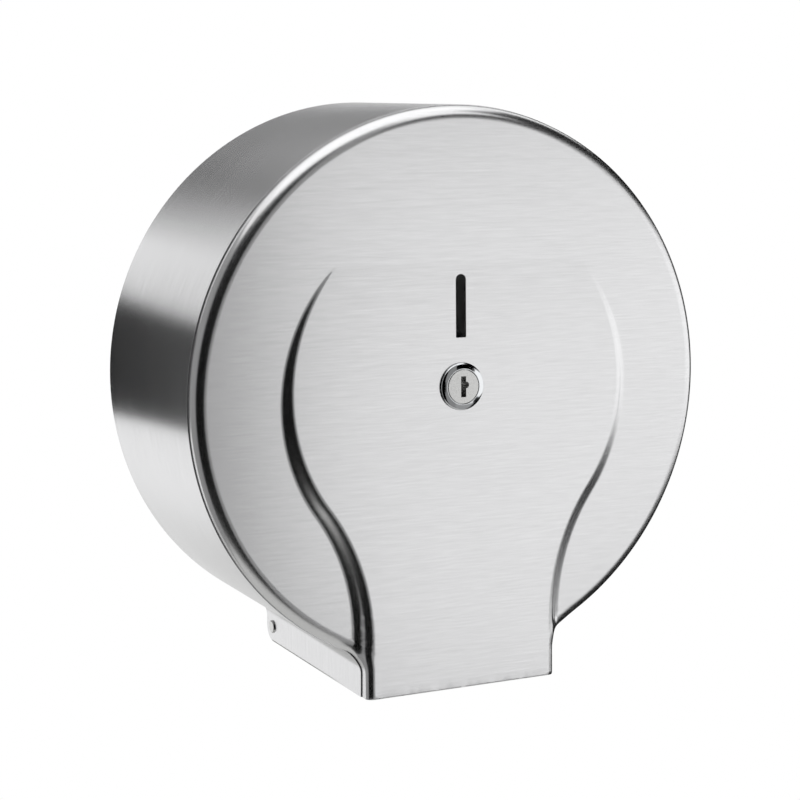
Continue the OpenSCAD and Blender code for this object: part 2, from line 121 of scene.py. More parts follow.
# The reflected surroundings: a screen's ends round the dispenser, its lower and upper ends, its
# grey and, where it isn't the usual one, its distance
SCREENS = (
    ("flag_front_left", (-68, 1), (-45, 48), 0.0),
    ("flag_front_edge", (1, 18), (-45, 48), 0.27),
    ("flag_ahead", (18, 45), (10, 35), 0.0),
    ("flag_low_ahead", (18, 44), (-45, -24), 0.35),
    ("flag_left", (-150, -68), (-12, 42), 0.31),
    ("flag_left_low", (-136, -68), (-45, -12), 0.28),
    ("flag_back_left", (-180, -139), (-13.4, 7.8), 0.0, 0.7),
    ("flag_back_high", (150, 196), (15, 34), 0.09),
    ("flag_high_right", (45, 100), (14, 55), 0.0),
    ("flag_far_right", (100, 150), (12, 32), 0.0),
    ("flag_low_right", (44, 150), (-75, -17), 0.0),
    ("flag_low_front", (-150, 48), (-75, -45), 0.2),
    ("flag_right", (89, 150), (-26, 12), 0.05),
    ("flag_back_right", (150, 160), (-18, 1), 0.0),
    ("window_right", (40, 84), (-16, 12), 1.15, 1.7),
    ("ceiling", (-180, 180), (58, 90), 1.26),
    ("ceiling_front", (-68, 18), (48, 58), 1.26),
    ("ceiling_ahead", (18, 45), (35, 58), 1.26),
)


# --- Small helpers ---


def srgb(code):
    """Linear RGBA of an sRGB hex colour."""
    parts = [int(code[i : i + 2], 16) / 255 for i in (0, 2, 4)]
    return tuple(
        p / 12.92 if p <= 0.04045 else ((p + 0.055) / 1.055) ** 2.4 for p in parts
    ) + (1.0,)


def add(tree, kind, inputs=None, **settings):
    """Adds a node. settings are its properties, and inputs its sockets by name or number, as
    values or other sockets."""
    node = tree.nodes.new(kind)
    for key, value in settings.items():
        setattr(node, key, value)
    for key, value in (inputs or {}).items():
        if isinstance(value, bpy.types.NodeSocket):
            tree.links.new(value, node.inputs[key])
        else:
            node.inputs[key].default_value = value
    return node


def out(tree, kind, inputs=None, **settings):
    """Adds a node and gives its first output."""
    return add(tree, kind, inputs, **settings).outputs[0]


def reckon(tree, operation, a, b):
    """The result of a sum on two values in a tree, such as ADD."""
    return out(tree, "ShaderNodeMath", {0: a, 1: b}, operation=operation)


def smooth(t):
    """Smooth step of a number or an array, from 0 to 1."""
    t = np.clip(t, 0, 1)
    return t * t * (3 - 2 * t)


def linked(name, data):
    """A new object in the scene."""
    obj = bpy.data.objects.new(name, data)
    bpy.context.scene.collection.objects.link(obj)
    return obj


def weighted(obj):
    """Shades flat faces flat, and keeps the sharp edges."""
    modifier = obj.modifiers.new("Weighted", "WEIGHTED_NORMAL")
    modifier.keep_sharp = True
    modifier.mode = "FACE_AREA"
    return obj


def tidy(mesh, sharp=35.0):
    """Merges doubles, drops bare edges, turns every face outwards and shades it smooth, except at
    edges sharper than an angle in degrees."""
    work = bmesh.new()
    work.from_mesh(mesh)
    bmesh.ops.remove_doubles(work, verts=work.verts, dist=2.5e-6)
    bare = [edge for edge in work.edges if not edge.link_faces]
    bmesh.ops.delete(work, geom=bare, context="EDGES")
    shaded(work, mesh, sharp)


def shaded(work, mesh, sharp):
    """Writes an edited mesh back with its faces outwards and smooth, and marks its sharp edges."""
    bmesh.ops.recalc_face_normals(work, faces=work.faces)
    for face in work.faces:
        face.smooth = True
    work.to_mesh(mesh)
    work.free()
    mesh.set_sharp_from_angle(angle=math.radians(sharp))


def place(obj, body, material, node, painted=False):
    """Finishes a piece: its material, unless its tree has set it, and the body it rides on, and
    hides the node it stands for."""
    if not obj.data.polygons:
        raise RuntimeError(obj.name + " came out empty")
    work = bmesh.new()
    work.from_mesh(obj.data)
    gaps = sum(len(edge.link_faces) != 2 for edge in work.edges)
    work.free()
    if gaps:
        raise RuntimeError(f"{obj.name} has {gaps} open edges")
    if not painted:
        obj.data.materials.clear()
        obj.data.materials.append(finish(material))
    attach(obj, body)
    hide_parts(node)


def lathe(name, profile, matrix, steps=96, flat=None):
    """A closed turned piece from its outline, as (radius, height). Its upper and lower sides can
    be cut flat below a height: flat is their half width and that height."""
    points, faces, rows = [], [], len(profile)
    for i in range(steps):
        turn = 2 * math.pi * i / steps
        for r, h in profile:
            x, y = r * math.cos(turn), r * math.sin(turn)
            if flat is not None and h < flat[1]:
                y = min(max(y, -flat[0]), flat[0])
            points.append(matrix @ Vector((x * MM, y * MM, h * MM)))
        j = (i + 1) % steps
        for k in range(rows):
            m = (k + 1) % rows
            faces.append((i * rows + k, j * rows + k, j * rows + m, i * rows + m))
    mesh = bpy.data.meshes.new(name)
    mesh.from_pydata(points, [], faces)
    mesh.validate()
    tidy(mesh)
    return weighted(linked(name, mesh))


def softened(name, node, width):
    """A copy of a node's mesh with its sharp edges rounded."""
    angle = 30.0
    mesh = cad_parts[node].data.copy()
    mesh.name = name
    obj = linked(name, mesh)
    if mesh.has_custom_normals:
        mesh.attributes.remove(mesh.attributes["custom_normal"])
    work = bmesh.new()
    work.from_mesh(mesh)
    bmesh.ops.remove_doubles(work, verts=work.verts, dist=2e-6)
    flat = math.radians(1.0)
    bmesh.ops.dissolve_limit(work, angle_limit=flat, verts=work.verts, edges=work.edges)
    shaded(work, mesh, angle)
    bevel = obj.modifiers.new("Bevel", "BEVEL")
    bevel.width = width * MM
    bevel.segments = 2
    bevel.limit_method = "ANGLE"
    bevel.angle_limit = math.radians(angle)
    return weighted(obj)


def dress(body, *pieces):
    """Sets softened copies of CAD nodes on a body. A piece is its node, the ending of its name,
    the width of its rounded edges and its finish."""
    for node, ending, width, material in pieces:
        place(softened(f"{node}_{ending}", node, width), body, material, node)


def new_tree(name, inputs, **kinds):
    """An empty Geometry Nodes tree with a geometry input and further named inputs, which are
    floats unless kinds says otherwise. Gives the tree, its inputs and its end node."""
    tree = bpy.data.node_groups.new(name, "GeometryNodeTree")
    socket = tree.interface.new_socket
    socket(name="Geometry", in_out="INPUT", socket_type="NodeSocketGeometry")
    socket(name="Geometry", in_out="OUTPUT", socket_type="NodeSocketGeometry")
    for key in inputs:
        socket(name=key, in_out="INPUT", socket_type="NodeSocket" + kinds.get(key, "Float"))
    return tree, add(tree, "NodeGroupInput").outputs, add(tree, "NodeGroupOutput")


def finished(tree, shape, material, end):
    """The end of a tree: instances made real and the finish set."""
    real = out(tree, "GeometryNodeRealizeInstances", {0: shape})
    painted = out(tree, "GeometryNodeSetMaterial", {0: real, "Material": finish(material)})
    tree.links.new(painted, end.inputs[0])
    return tree


def transformed(tree, shape, **how):
    """A shape after a Transform node, whose sockets are given by name."""
    return out(tree, "GeometryNodeTransform", {0: shape, **how})


def cut_away(tree, shape, tool):
    """A shape with a tool's shape cut out of it."""
    inputs = {0: shape, 1: tool}
    return out(tree, "GeometryNodeMeshBoolean", inputs, operation="DIFFERENCE", solver="EXACT")


def run_tree(name, tree, values, mesh=None):
    """Runs a Geometry Nodes tree with its named inputs set, and gives a plain mesh's object."""
    base = linked(name + "_base", mesh or bpy.data.meshes.new(name + "_base"))
    modifier = base.modifiers.new("Make", "NODES")
    modifier.node_group = tree
    ids = {
        item.name: item.identifier
        for item in tree.interface.items_tree
        if item.item_type == "SOCKET" and item.in_out == "INPUT"
    }
    for key, value in values.items():
        modifier[ids[key]] = value
    graph = bpy.context.evaluated_depsgraph_get()
    made = bpy.data.meshes.new_from_object(base.evaluated_get(graph))
    source = base.data
    bpy.data.objects.remove(base)
    bpy.data.meshes.remove(source)
    made.name = name
    return linked(name, made)


# --- Finishes ---


def principled(name, colour, metallic, roughness):
    """A new material with its Principled shader, whose even values are set on its own sockets."""
    material = bpy.data.materials.new(name)
    material.use_nodes = True
    tree = material.node_tree
    shader = tree.nodes["Principled BSDF"]
    shader.inputs["Base Color"].default_value = colour
    shader.inputs["Metallic"].default_value = metallic
    shader.inputs["Roughness"].default_value = roughness
    return material, tree, shader


def noise(tree, coords, scale, detail, rough=0.5):
    """Noise on coordinates in metres, with its scale a metre along each axis."""
    coords = out(tree, "ShaderNodeMapping", {"Vector": coords, "Scale": scale})
    inputs = {"Vector": coords, "Scale": 1.0, "Detail": detail, "Roughness": rough}
    return out(tree, "ShaderNodeTexNoise", inputs)


def spread(tree, value, low, high):
    """A noise value spread over a range."""
    inputs = {"Value": value, "From Min": 0.3, "From Max": 0.7, "To Min": low, "To Max": high}
    return out(tree, "ShaderNodeMapRange", inputs)


def tinted(tree, shader, value, low, high):
    """Lets a noise value vary the shader's colour between two colours."""
    inputs = {"Factor": spread(tree, value, 0, 1), 6: low, 7: high}
    colour = add(tree, "ShaderNodeMix", inputs, data_type="RGBA").outputs[2]
    tree.links.new(colour, shader.inputs["Base Color"])


def bumped(tree, shader, height, distance):
    """A bump of a real height in metres on the shader."""
    bump = out(tree, "ShaderNodeBump", {"Height": height, "Distance": distance})
    tree.links.new(bump, shader.inputs["Normal"])


def satin_stainless(name):
    """Stainless sheet, belt-brushed along its length before it was cut and pressed: long fine
    scratches that blur reflections across the grain far more than along it. The real scratches are
    about 0.05 mm apart; they are drawn 0.8 mm apart, so that they show."""
    look = bpy.context.scene.dispenser_finish
    base = look.steel_roughness
    material, tree, shader = principled(name, (*look.steel, 1), 1.0, base)
    if name == "satin_stainless_pressing":
        coords = out(tree, "ShaderNodeUVMap", uv_map="grain")
        tangent = out(tree, "ShaderNodeTangent", direction_type="UV_MAP", uv_map="grain")
        tree.links.new(tangent, shader.inputs["Tangent"])
        shader.inputs["Anisotropic"].default_value = look.steel_anisotropy
        shader.inputs["Anisotropic Rotation"].default_value = 0.25
    else:
        coords = add(tree, "ShaderNodeTexCoord").outputs["Object"]
    lines = noise(tree, coords, (70, 1300, 1300), 3.0, 0.6)
    streaks = noise(tree, coords, (16, 500, 500), 2.0)
    clouds = noise(tree, coords, (14, 14, 14), 3.0)
    dark = (*[c * 0.95 for c in look.steel], 1)
    light = (*[min(c * 1.02, 1) for c in look.steel], 1)
    tinted(tree, shader, lines, dark, light)
    streaks = spread(tree, streaks, base - 0.012, base + 0.012)
    rough = reckon(tree, "ADD", streaks, spread(tree, clouds, -0.006, 0.006))
    tree.links.new(rough, shader.inputs["Roughness"])
    bumped(tree, shader, lines, 6.0e-7)
    return material


def even_finish(name, colour, metallic, roughness, rough, bump=None, tint=None, sockets=()):
    """A finish without a grain direction. rough is a noise and the range of roughness it gives,
    bump a noise and its height in metres, and tint a noise and two colours. A noise is its scale a
    metre, its detail and its own roughness. sockets are further values of the shader."""
    material, tree, shader = principled(name, srgb(colour), metallic, roughness)
    for key, value in sockets:
        shader.inputs[key].default_value = value
    coords = add(tree, "ShaderNodeTexCoord").outputs["Object"]
    made = {}
    for part in filter(None, (tint, rough, bump)):
        scale, *settings = part[0]
        if part[0] not in made:
            made[part[0]] = noise(tree, coords, (scale, scale, scale), *settings)
    if tint:
        tinted(tree, shader, made[tint[0]], srgb(tint[1]), srgb(tint[2]))
    tree.links.new(spread(tree, made[rough[0]], *rough[1:]), shader.inputs["Roughness"])
    if bump:
        bumped(tree, shader, made[bump[0]], bump[1])
    return material


EVEN_FINISHES = {
    # Steel stampings and turned parts, bright zinc plated: cool grey, faint cloudy passivation
    "zinc_plated_steel": dict(
        colour="c3c6cb", metallic=1.0, roughness=0.34,
        rough=((160, 4.0), 0.28, 0.42), bump=((2500, 2.0), 3.0e-6),
        tint=((160, 4.0), "bcbfc8", "cccbc6"),
    ),
    # Turned stainless steel: bright, with the tool's fine marks
    "turned_stainless_steel": dict(
        colour="d3d3d2", metallic=1.0, roughness=0.22,
        rough=((1800, 2.0), 0.17, 0.28), bump=((1800, 2.0), 1.5e-6),
    ),
    # Die-cast zinc, polished and chromed: a clear mirror, a little bluish and barely wavy
    "polished_chrome_plate": dict(
        colour="e2e4e6", metallic=1.0, roughness=0.07,
        rough=((150, 3.0), 0.05, 0.11), bump=((420, 2.0), 6.0e-6),
    ),
    # Machined brass with satin nickel plating: duller than the chrome
    "satin_nickel_plate": dict(
        colour="d0d0cf", metallic=1.0, roughness=0.24,
        rough=((1500, 2.0), 0.2, 0.3), bump=((1500, 2.0), 2.0e-6),
    ),
    # Hardened steel with black oxide: almost black, with an oily satin sheen
    "black_oxide_steel": dict(
        colour="2b2c2e", metallic=0.6, roughness=0.42,
        rough=((900, 3.0), 0.36, 0.5), tint=((900, 3.0), "242527", "35363a"),
    ),
    # Nylon, moulded in its natural milky white, which lets a little light in
    "natural_nylon": dict(
        colour="ece8dc", metallic=0.0, roughness=0.42,
        rough=((1200, 2.0), 0.36, 0.48), bump=((1200, 2.0), 4.0e-6),
        sockets=(
            ("IOR", 1.53),
            ("Subsurface Weight", 0.15),
            ("Subsurface Radius", (0.0012, 0.001, 0.0008)),
        ),
    ),
    # Dark grey ABS: the mould's fine spark texture leaves it matt and slightly pebbled
    "spark_textured_abs": dict(
        colour="585b5e", metallic=0.0, roughness=0.46,
        rough=((2600, 3.0, 0.65), 0.4, 0.56), bump=((2600, 3.0, 0.65), 2.0e-5),
        tint=((45, 2.0), "535659", "5e6164"), sockets=(("IOR", 1.54),),
    ),
}


def finish(name):
    """A finish by its name, made once."""
    if name in bpy.data.materials:
        return bpy.data.materials[name]
    if name in EVEN_FINISHES:
        return even_finish(name, **EVEN_FINISHES[name])
    return satin_stainless(name)


# --- Shapes of the cover ---


def around(angles):
    """Unit vectors at angles in radians."""
    return np.stack([np.cos(angles), np.sin(angles)], 1)


def grid(xs, ups):
    """Points in rows across xs, one row at each height in ups."""
    return np.stack([part.ravel() for part in np.meshgrid(xs, ups)], 1)


def throat_centre(radius, half, blend):
    """Centre of the hollow on the right that leads a round body into a straight chin."""
    across = half + blend
    return across, -math.sqrt((radius + blend) ** 2 - across**2)


def outline(inset):
    """The cover's outline as seen from the front, inset all round, from its left foot over the top
    to its right foot. Gives points, inward normals and the length along the outline."""
    sizes = bpy.context.scene.dispenser_cover
    body = DRUM_R - inset
    half = sizes.chin_half / MM - inset
    throat = sizes.throat_radius / MM + inset
    cx, cz = throat_centre(body, half, throat)
    foot = math.degrees(math.atan2(cz, cx))
    step = 1.5
    drum = np.radians(np.linspace(90, foot, int((90 - foot) / step) + 1))
    bend = np.radians(np.linspace(180 + foot, 180, 21)[1:])
    fall = grid([half], np.linspace(cz, -CHIN_DROP, 14)[1:])
    points = np.concatenate([body * around(drum), (cx, cz) + throat * around(bend), fall])
    inward = np.concatenate([-around(drum), around(bend), np.tile([-1.0, 0.0], (len(fall), 1))])
    points = np.concatenate([points[:0:-1] * (-1, 1), points])
    inward = np.concatenate([inward[:0:-1] * (-1, 1), inward])
    along = np.concatenate([[0], np.cumsum(np.linalg.norm(np.diff(points, axis=0), axis=1))])
    return points, inward, along


def seam_depth(up):
    """Depth of the seam between band and front: it steps forward through the throats."""
    start, reach = SEAM_CHANGE
    return SEAM_DEPTH + SEAM_STEP * smooth((-np.asarray(up) - start) / reach)


def chin_share(up):
    """0 on the drum, 1 on the chin, and a soft change between them through the throats."""
    start, reach = CHIN_CHANGE
    return smooth((-np.asarray(up) - start) / reach)


def panel_form():
    """The raised panel's outline at the middle of its wall: the radii of its round part and of the
    hollow below it, its half width at the chin and the centre of the hollow."""
    sizes = bpy.context.scene.dispenser_cover
    radius, blend = sizes.panel_radius / MM, sizes.panel_blend / MM
    half = sizes.chin_half / MM + WALL_PAST
    return radius, blend, half, *throat_centre(radius, half, blend)


def panel_inside(x, up):
    """How far a point lies inside the middle line of the raised panel's wall."""
    radius, blend, half, cx, cz = panel_form()
    x = np.abs(x)
    body = radius - np.hypot(x, up)
    hollow = np.hypot(x - cx, up - cz) - blend
    return np.where(up > cz / cx * x, body, np.where(up > cz, hollow, half - x))


def wall_width(rise):
    """Width of the panel's wall for its height: two bends of one radius, meeting in the middle."""
    bend = bpy.context.scene.dispenser_cover.wall_bend / MM
    return np.sqrt(np.maximum(4 * bend * rise - rise**2, 0.04))


def bent_wall(inside, rise):
    """Share of the panel's height, 0 outside and 1 inside, across a wall of two equal bends."""
    half = wall_width(rise) / 2
    rise = np.maximum(rise, 1e-6)
    bend = (half**2 + rise**2 / 4) / rise
    outer = np.clip(inside + half, 0, half)
    inner = np.clip(half - inside, 0, half)
    low = bend - np.sqrt(bend**2 - outer**2)
    high = rise - bend + np.sqrt(bend**2 - inner**2)
    return np.where(inside < 0, low, high) / rise


def face_depth(x, up):
    """Depth of the front's face and raised panel, without the rounding at its rim."""
    x, up = np.asarray(x, float), np.asarray(up, float)
    below = CREASE_UP - up
    folded = (below + FOLD) ** 2 / (4 * FOLD)
    rise = np.where(np.abs(below) < FOLD, folded, np.maximum(below, 0)) * math.tan(SLOPE)
    wall = bent_wall(panel_inside(x, up), rise)
    share = chin_share(up)
    depth = FACE_DEPTH + rise * (wall * (1 - share) + share)
    past = np.clip((-up - (CHIN_DROP - LIP)) / LIP, 0, 1)
    return depth - LIP * (1 - np.sqrt(1 - past**2))


def rim_radius(up):
    """Radius of the rounding at the front's rim, smaller on the chin."""
    sizes = bpy.context.scene.dispenser_cover
    share = chin_share(up)
    return sizes.rim_radius / MM * (1 - share) + sizes.chin_edge / MM * share


def slot_loop(grow):
    """The level slot's outline: round above, and below square with small corners."""
    sizes = bpy.context.scene.dispenser_cover
    half = sizes.slot_width / MM / 2
    low = sizes.slot_foot / MM
    centre = low + sizes.slot_length / MM - half
    r = half + grow
    foot = low - grow
    corner = 0.3
    cut = corner * 0.3
    arc = np.linspace(0, math.pi, 20)
    points = [(r * math.cos(a), centre + r * math.sin(a)) for a in arc]
    sides = np.linspace(centre, foot + corner, 9)[1:]
    points += [(-r, z) for z in sides]
    points += [(-r + cut, foot + cut)]
    points += [(x, foot) for x in np.linspace(-r + corner, r - corner, 5)]
    points += [(r - cut, foot + cut)]
    points += [(r, z) for z in sides[::-1]]
    return np.array(points)


def lock_loop(grow):
    """The outline of the lock's hole: round, with a flat above and below."""
    turn = np.linspace(0, 2 * math.pi, 48, endpoint=False)
    r, flat = LOCK_HOLE_R + grow, LOCK_HOLE_FLAT + grow
    return np.stack([r * np.cos(turn), LOCK_UP + np.clip(r * np.sin(turn), -flat, flat)], 1)


def inside_loop(points, loop):
    """Which points lie inside a closed loop."""
    x, y = points[:, 0], points[:, 1]
    inside = np.zeros(len(points), bool)
    for (x0, y0), (x1, y1) in zip(loop, np.roll(loop, -1, 0)):
        crosses = (y0 > y) != (y1 > y)
        with np.errstate(divide="ignore", invalid="ignore"):
            at = (x1 - x0) * (y - y0) / (y1 - y0) + x0
        inside ^= crosses & (x < at)
    return inside


def nearest(points, others):
    """Each point's distance to the nearest of the others."""
    return np.array([np.min(np.hypot(*(others - p).T)) for p in points])


def panel_rows():
    """Points along the raised panel's wall, close together across it, where the sheet bends."""
    radius, blend, half, cx, cz = panel_form()
    tangent = math.atan2(cz, cx)
    start = math.asin(min((CREASE_UP + 1) / radius, 1))
    arc = np.linspace(start, tangent, 60)
    back = np.linspace(math.pi + tangent, math.pi, 42)[1:]
    side = grid([half], np.linspace(cz - 2, -131, 10))
    line = np.concatenate([radius * around(arc), (cx, cz) + blend * around(back), side])
    inward = np.concatenate([-around(arc), around(back), np.tile([-1.0, 0.0], (len(side), 1))])
    width = wall_width(np.maximum(CREASE_UP - line[:, 1], 0) * math.tan(SLOPE))
    shares = [-share for share in WALL_SHARES[::-1]] + [0, *WALL_SHARES]
    right = np.concatenate([line + inward * (share * width)[:, None] for share in shares])
    return np.concatenate([right, right * (-1, 1)])


def rim_rows(skirt, inward):
    """Rows of points round the front as (x, up, depth): the skirt behind the seam, the shoulder in
    front of it, and the rounded rim up to the face."""
    radius = rim_radius(skirt[:, 1])
    seam = seam_depth(skirt[:, 1])
    flush = skirt - inward * RIM_OUT
    top = face_depth(skirt[:, 0], skirt[:, 1]) - radius
    rows = [
        (skirt, seam - SKIRT_LAP),
        (skirt, seam + SEAM_GAP),
        (flush + inward * SHOULDER, seam + SEAM_GAP),
        (flush, seam + SEAM_GAP + SHOULDER),
        (flush, (seam + top) / 2),
    ]
    for turn in np.radians(np.linspace(0, 90, 11)):
        row = flush + inward * ((radius + RIM_OUT) * (1 - math.cos(turn)))[:, None]
        rows.append((row, face_depth(row[:, 0], row[:, 1]) - radius * (1 - math.sin(turn))))
    return [np.column_stack(row) for row in rows]


def face_points(skirt, inward, loop, holes):
    """Points inside the front's face: close together along its walls, crease, lip and holes, and
    loose elsewhere."""
    rng = np.random.default_rng(7)
    loose = grid(np.arange(-127, 128, 5.0), np.arange(-139, 128, 5.0))
    loose = loose + rng.uniform(-0.6, 0.6, loose.shape)
    throat = grid(np.arange(36.0, 58.1, 1.25), np.arange(-133.0, -100.0, 1.25))
    steps = np.array([-1.6, -0.9, -0.3, 0.3, 0.9, 1.6])
    crease = grid(np.linspace(-68, 68, 70), CREASE_UP + steps)
    lip = grid(np.linspace(-45.5, 45.5, 40), np.array([0.05, 0.14, 0.35, 0.8]) - CHIN_DROP)
    rings = [ring(grow) for grow in (0.25, 1.2) for ring in (slot_loop, lock_loop)]
    support = skirt + inward * (rim_radius(skirt[:, 1]) + 0.5)[:, None]
    fine = [panel_rows(), throat, throat * (-1, 1), crease, lip, *rings, support[2:-2]]
    fine = np.concatenate(fine)
    fine = fine[inside_loop(fine, loop)]
    loose = loose[(nearest(loose, fine) > 2.2) & inside_loop(loose, loop)]
    inner = np.concatenate([fine, loose])
    for hole in holes:
        inner = inner[~inside_loop(inner, hole)]
    return inner[nearest(inner, loop) > 0.3]


def front_mesh():
    """The front's outer skin: points as (x, up, depth), faces, their grain coordinates, and the
    open borders in order, for the sheet's thickness."""
    skirt, inward, along = outline(SKIRT_INSET)
    count = len(skirt)
    rows = rim_rows(skirt, inward)
    points = [tuple(point) for row in rows for point in row]
    faces, grain = [], []
    # The grain follows the skirt and the lower half of the rim, and runs level on the rest
    wrapped = 10
    for k in range(len(rows) - 1):
        for i in range(count - 1):
            low, high = k * count + i, (k + 1) * count + i
            faces.append((low, high, high + 1, low + 1))
            if k < wrapped:
                grain.append([(along[n % count], points[n][2]) for n in faces[-1]])
            else:
                grain.append([points[n][:2] for n in faces[-1]])
    rim = rows[-1][:, :2]
    # The flat region inside the rim, with the slot and the lock's hole
    foot = np.linspace(rim[-1][0], rim[0][0], 34)[1:-1]
    loop = np.concatenate([rim, grid(foot, [-CHIN_DROP])])
    holes = [slot_loop(0.0), lock_loop(0.0)]
    inner = face_points(skirt, inward, loop, holes)
    edges, start = [], 0
    for ring in (loop, *holes):
        ids = np.arange(start, start + len(ring))
        edges += list(zip(ids.tolist(), np.roll(ids, -1).tolist()))
        start += len(ring)
    given = [Vector(p) for p in np.concatenate([loop, *holes, inner])]
    corners, _, cells, origins, _, _ = geometry.delaunay_2d_cdt(given, edges, [], 0, 1e-5)
    corners = np.array([tuple(v) for v in corners])
    centre = np.array([corners[list(cell)].mean(0) for cell in cells])
    good = inside_loop(centre, loop)
    for hole in holes:
        good &= ~inside_loop(centre, hole)
    depth = face_depth(corners[:, 0], corners[:, 1])
    # The corner that each given point became
    became = {o: n for n, origin in enumerate(origins) for o in origin}
    rings, start = [], len(loop)
    for hole in holes:
        rings.append([became[start + i] for i in range(len(hole))])
        depth[rings[-1]] -= DRAWN_IN
        start += len(hole)
    # The point of each corner, where those on the rim are there already
    index = {became[i]: (len(rows) - 1) * count + i for i in range(count)}
    for n, (x, up) in enumerate(corners):
        if n not in index:
            index[n] = len(points)
            points.append((x, up, depth[n]))
    for cell, wanted in zip(cells, good):
        face = tuple(index[n] for n in cell)
        if wanted and len(set(face)) == len(face):
            faces.append(face)
            grain.append([points[n][:2] for n in face])
    left_side = [k * count for k in range(len(rows))]
    right_side = [k * count + count - 1 for k in range(1, len(rows))]
    low_side = [index[became[i]] for i in range(count, len(loop))]
    outer = list(range(count)) + right_side + low_side + left_side[:0:-1]
    return np.array(points), faces, grain, [outer] + [[index[n] for n in ring] for ring in rings]


def sheet_from(name, points, faces, grain, borders, thickness):
    """A closed sheet from its outer skin: an inner skin one thickness behind, and walls at its
    borders, of which all but the first are punched straight."""
    world = np.stack([points[:, 0], -points[:, 2], points[:, 1]], 1)
    normal = np.zeros_like(world)
    for face in faces:
        a, b, c = world[face[0]], world[face[1]], world[face[2]]
        cross = np.cross(b - a, c - a)
        for n in face:
            normal[n] += cross
    size = np.linalg.norm(normal, axis=1)
    used = size > 0
    normal[used] /= size[used][:, None]
    for ring in borders[1:]:
        normal[ring] = (0.0, np.sign(np.sum(normal[ring][:, 1])), 0.0)
    middle = np.array([0.0, AIM_Y / MM, 0.0])
    if np.sum((world[used] - middle) * normal[used]) < 0:
        normal = -normal
    inner = world - normal * thickness
    inner[:, 2] = np.maximum(inner[:, 2], -CHIN_DROP)
    count = len(world)
    mesh = bpy.data.meshes.new(name)
    every = [tuple(p) for p in np.concatenate([world, inner]) * MM]
    all_faces = [tuple(f) for f in faces] + [tuple(n + count for n in f[::-1]) for f in faces]
    uvs = list(grain) + [g[::-1] for g in grain]
    for ring in borders:
        for a, b in zip(ring, ring[1:] + ring[:1]):
            all_faces.append((a, b, b + count, a + count))
            pa, pb = points[a][:2], points[b][:2]
            way = (pb - pa)[::-1] * (1, -1)
            way = way / max(np.linalg.norm(way), 1e-6)
            uvs.append([pa, pb, pb + way, pa + way])
    mesh.from_pydata(every, [], all_faces)
    layer = mesh.uv_layers.new(name="grain")
    flat = np.array([v for face in uvs for v in face], float) * MM
    layer.data.foreach_set("uv", flat.ravel())
    work = bmesh.new()
    work.from_mesh(mesh)
    loose = [v for v in work.verts if not v.link_faces]
    bmesh.ops.delete(work, geom=loose, context="VERTS")
    shaded(work, mesh, 40)
    return weighted(linked(name, mesh))


def band_tree():
    """The band: a strip's section swept along the cover's outline, its front edge stepped forward
    at the chin, its rear corners at the chin rounded off, and a hole for each hinge pin."""
    inputs = ("Thickness", "Depth", "Gap", "Edge", "Pin Radius", "Place")
    tree, value, end = new_tree("bent_band", inputs, Place="Vector")
    path = out(tree, "GeometryNodeMeshToCurve", {0: value["Geometry"]})
    path = out(tree, "GeometryNodeSetCurveNormal", {0: path}, mode="Z_UP")
    width = reckon(tree, "SUBTRACT", value["Depth"], value["Gap"])
    size = {"Width": value["Thickness"], "Height": width}
    section = out(tree, "GeometryNodeCurvePrimitiveQuadrilateral", size)
    rounding = {0: section, "Radius": value["Edge"], "Count": 3}
    section = out(tree, "GeometryNodeFilletCurve", rounding, mode="POLY")
    swept = out(tree, "GeometryNodeCurveToMesh", {0: path, 1: section, "Fill Caps": True})
    point = out(tree, "GeometryNodeInputPosition")
    height = add(tree, "ShaderNodeSeparateXYZ", {0: point}).outputs[2]
    front = out(tree, "FunctionNodeCompare", {0: height, 1: 0.0}, operation="GREATER_THAN")
    ahead = out(tree, "GeometryNodeInputNamedAttribute", {0: "ahead"})
    behind = out(tree, "GeometryNodeInputNamedAttribute", {0: "behind"})
    shift = out(tree, "GeometryNodeSwitch", {0: front, 1: behind, 2: ahead}, input_type="FLOAT")
    offset = out(tree, "ShaderNodeCombineXYZ", {2: shift})
    band = out(tree, "GeometryNodeSetPosition", {0: swept, "Offset": offset})
    total = reckon(tree, "ADD", value["Depth"], value["Gap"])
    lift = out(tree, "ShaderNodeCombineXYZ", {2: reckon(tree, "MULTIPLY", total, 0.5)})
    band = transformed(tree, band, Translation=lift)
    size = {"Vertices": 48, "Radius": value["Pin Radius"], "Depth": 1.0}
    pin = out(tree, "GeometryNodeMeshCylinder", size)
    pin = transformed(tree, pin, Translation=value["Place"], Rotation=(0, math.pi / 2, 0))
    upright = transformed(tree, cut_away(tree, band, pin), Rotation=(math.pi / 2, 0, 0))
    return finished(tree, upright, "satin_stainless_pressing", end)


